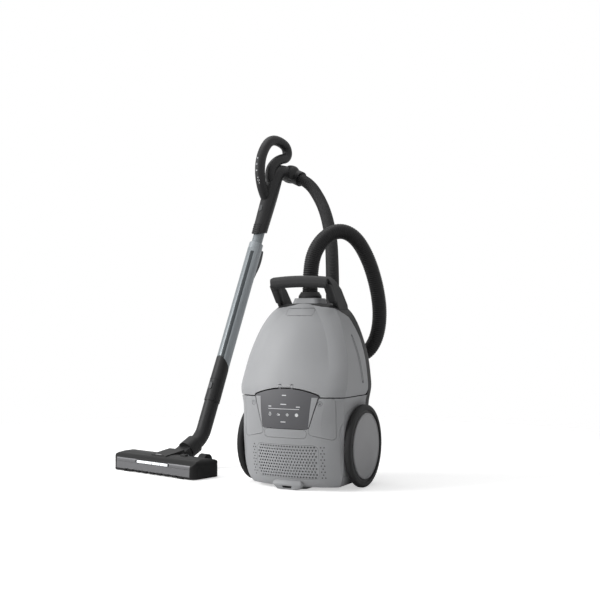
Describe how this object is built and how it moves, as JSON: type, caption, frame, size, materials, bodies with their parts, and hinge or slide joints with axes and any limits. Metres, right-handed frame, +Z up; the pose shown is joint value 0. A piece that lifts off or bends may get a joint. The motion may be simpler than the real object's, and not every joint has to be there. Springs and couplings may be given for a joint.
{
  "type": "canister vacuum cleaner",
  "caption": "Canister vacuum cleaner parked upright on its end: domed silver housing, big rear wheels, ribbed hose, looped remote handle, telescopic wand and powered brush floor nozzle.",
  "frame": {"origin": "on the sole of the canister's parking foot, in the middle of its width, 12 mm in from the foot's rear edge, at floor level", "axes": "+Z up, +X to the right of the canister seen from its front, -Y out of the canister's front, where the exhaust grille and the control panel are"},
  "size_m": [0.7059, 0.6057, 0.9305],
  "materials": {
    "silver_body": "satin",
    "panel_grey": "satin",
    "black_plastic": "fine matte",
    "button_grey": "satin",
    "tyre_rubber": "matte",
    "hub_silver": "satin",
    "steel_tube": "brushed",
    "hose_rubber": "matte",
    "lamp_white": "diffusing",
    "inner_grey": "matte",
    "bag_cloth": "fleece",
    "board_green": "matte",
    "belt_rubber": "matte",
    "brush_dark": "matte"
  },
  "bodies": {
    "canister": {"chassis": "black_plastic", "carry_handle": "black_plastic", "body_shell": "silver_body", "side_panel_left": "silver_body", "side_panel_right": "silver_body", "control_panel": "panel_grey", "lid_hinge_pin": "steel_tube", "pedal_bracket": "inner_grey", "exhaust_grille": "silver_body", "parking_foot": "black_plastic", "inlet_collar": "black_plastic", "bulkhead": "inner_grey", "suction_motor": "inner_grey", "motor_filter": "bag_cloth", "dust_bag": "bag_cloth", "bag_holder": "inner_grey", "hepa_filter": "bag_cloth", "circuit_board": "board_green", "cord_gland": "black_plastic", "wheel_axles": "steel_tube", "hose": "hose_rubber", "hose_elbow": "black_plastic"},
    "lid": {"dust_lid": "silver_body"},
    "latch": {"lid_latch": "silver_body"},
    "power_pedal": {"power_pedal": "panel_grey"},
    "rewind_pedal": {"rewind_pedal": "panel_grey"},
    "grille_catch": {"grille_catch": "silver_body"},
    "left_wheel": {"wheel_core_left": "black_plastic", "tyre_left": "tyre_rubber", "hub_cap_left": "hub_silver"},
    "right_wheel": {"wheel_core_right": "black_plastic", "tyre_right": "tyre_rubber", "hub_cap_right": "hub_silver"},
    "castor": {"castor_fork": "black_plastic"},
    "castor_roller": {"castor_wheel": "tyre_rubber"},
    "reel": {"cord_reel": "inner_grey"},
    "cuff": {"hose_cuff": "black_plastic"},
    "handle": {"handle_sleeve": "black_plastic", "handle_grip": "black_plastic", "inner_tube": "steel_tube"},
    "handle_lock": {"handle_lock_button": "button_grey"},
    "upper_key_body": {"upper_key": "button_grey"},
    "middle_key_body": {"middle_key": "button_grey"},
    "lower_key_body": {"lower_key": "button_grey"},
    "lower_wand": {"outer_tube": "steel_tube", "tube_collar": "black_plastic", "tube_sleeve": "black_plastic", "neck_elbow": "black_plastic"},
    "catch": {"telescopic_catch": "button_grey"},
    "tube_lock": {"tube_lock_button": "button_grey"},
    "neck": {"neck_fork": "black_plastic"},
    "nozzle": {"nozzle_cover": "black_plastic", "nozzle_base": "black_plastic", "led_lens": "lamp_white", "pivot_pin": "steel_tube", "nozzle_motor": "inner_grey", "drive_belt": "belt_rubber"},
    "brush": {"brush_roll": "brush_dark"},
    "left_nozzle_wheel": {"nozzle_wheel_left": "tyre_rubber"},
    "right_nozzle_wheel": {"nozzle_wheel_right": "tyre_rubber"}
  },
  "joints": [
    {"name": "lid_hinge", "type": "hinge", "parent": "canister", "child": "lid", "pos_m": [0, -0.1064, 0.2395], "axis": [1, 0, 0], "range_deg": [0, 70]},
    {"name": "lid_latch_push", "type": "slide", "parent": "lid", "child": "latch", "axis": [0, 1, 0], "range_m": [0, 0.003], "stiffness_N_per_m": 400},
    {"name": "power_pedal_push", "type": "slide", "parent": "canister", "child": "power_pedal", "axis": [0, 1, 0], "range_m": [0, 0.005], "stiffness_N_per_m": 600},
    {"name": "rewind_pedal_push", "type": "slide", "parent": "canister", "child": "rewind_pedal", "axis": [0, 1, 0], "range_m": [0, 0.005], "stiffness_N_per_m": 600},
    {"name": "grille_catch_push", "type": "slide", "parent": "canister", "child": "grille_catch", "axis": [0, 1, 0], "range_m": [0, 0.003], "stiffness_N_per_m": 400},
    {"name": "left_wheel_spin", "type": "hinge", "parent": "canister", "child": "left_wheel", "pos_m": [-0.14, 0.017, 0.097], "axis": [1, 0, 0], "continuous": true},
    {"name": "right_wheel_spin", "type": "hinge", "parent": "canister", "child": "right_wheel", "pos_m": [0.14, 0.017, 0.097], "axis": [1, 0, 0], "continuous": true},
    {"name": "castor_swivel", "type": "hinge", "parent": "canister", "child": "castor", "pos_m": [0, 0.09, 0.372], "axis": [0, 1, 0], "continuous": true},
    {"name": "castor_spin", "type": "hinge", "parent": "castor", "child": "castor_roller", "pos_m": [0, 0.099, 0.365], "axis": [1, 0, 0], "continuous": true},
    {"name": "cord_reel_spin", "type": "hinge", "parent": "canister", "child": "reel", "pos_m": [0.055, 0.076, 0.092], "axis": [0, 1, 0], "continuous": true},
    {"name": "hose_cuff_swivel", "type": "hinge", "parent": "canister", "child": "cuff", "pos_m": [0, 0.019, 0.45], "axis": [0, 0, 1], "continuous": true},
    {"name": "handle_swivel", "type": "hinge", "parent": "canister", "child": "handle", "pos_m": [-0.29416, 0.43636, 0.82503], "axis": [0.2295, 0.9733, 0], "range_deg": [-5, 60]},
    {"name": "handle_lock_push", "type": "slide", "parent": "handle", "child": "handle_lock", "axis": [0.2127, 0.9018, -0.3762], "range_m": [0, 0.0008], "stiffness_N_per_m": 500},
    {"name": "upper_key_push", "type": "slide", "parent": "handle", "child": "upper_key_body", "axis": [0.2295, 0.9733, 0], "range_m": [0, 0.001], "stiffness_N_per_m": 400},
    {"name": "middle_key_push", "type": "slide", "parent": "handle", "child": "middle_key_body", "axis": [0.2295, 0.9733, 0], "range_m": [0, 0.001], "stiffness_N_per_m": 400},
    {"name": "lower_key_push", "type": "slide", "parent": "handle", "child": "lower_key_body", "axis": [0.2295, 0.9733, 0], "range_m": [0, 0.001], "stiffness_N_per_m": 400},
    {"name": "telescopic_slide", "type": "slide", "parent": "handle", "child": "lower_wand", "axis": [-0.0864, -0.3662, -0.9265], "range_m": [0, 0.26]},
    {"name": "telescopic_catch_slide", "type": "slide", "parent": "lower_wand", "child": "catch", "axis": [-0.0864, -0.3662, -0.9265], "range_m": [0, 0.006], "stiffness_N_per_m": 300},
    {"name": "tube_lock_push", "type": "slide", "parent": "lower_wand", "child": "tube_lock", "axis": [0.2127, 0.9018, -0.3762], "range_m": [0, 0.0008], "stiffness_N_per_m": 500},
    {"name": "neck_twist", "type": "hinge", "parent": "lower_wand", "child": "neck", "pos_m": [-0.37502, 0.09346, 0.06724], "axis": [0.2045, 0.8672, 0.454], "range_deg": [-40, 40]},
    {"name": "nozzle_pitch", "type": "hinge", "parent": "neck", "child": "nozzle", "pos_m": [-0.3873, 0.04143, 0.04], "axis": [0.9733, -0.2295, 0], "range_deg": [-25, 20]},
    {"name": "brush_spin", "type": "hinge", "parent": "nozzle", "child": "brush", "pos_m": [-0.40405, -0.02962, 0.022], "axis": [0.9733, -0.2295, 0], "continuous": true},
    {"name": "left_nozzle_wheel_spin", "type": "hinge", "parent": "nozzle", "child": "left_nozzle_wheel", "pos_m": [-0.50181, 0.04378, 0.011], "axis": [0.9733, -0.2295, 0], "continuous": true},
    {"name": "right_nozzle_wheel_spin", "type": "hinge", "parent": "nozzle", "child": "right_nozzle_wheel", "pos_m": [-0.2838, -0.00764, 0.011], "axis": [0.9733, -0.2295, 0], "continuous": true}
  ]
}
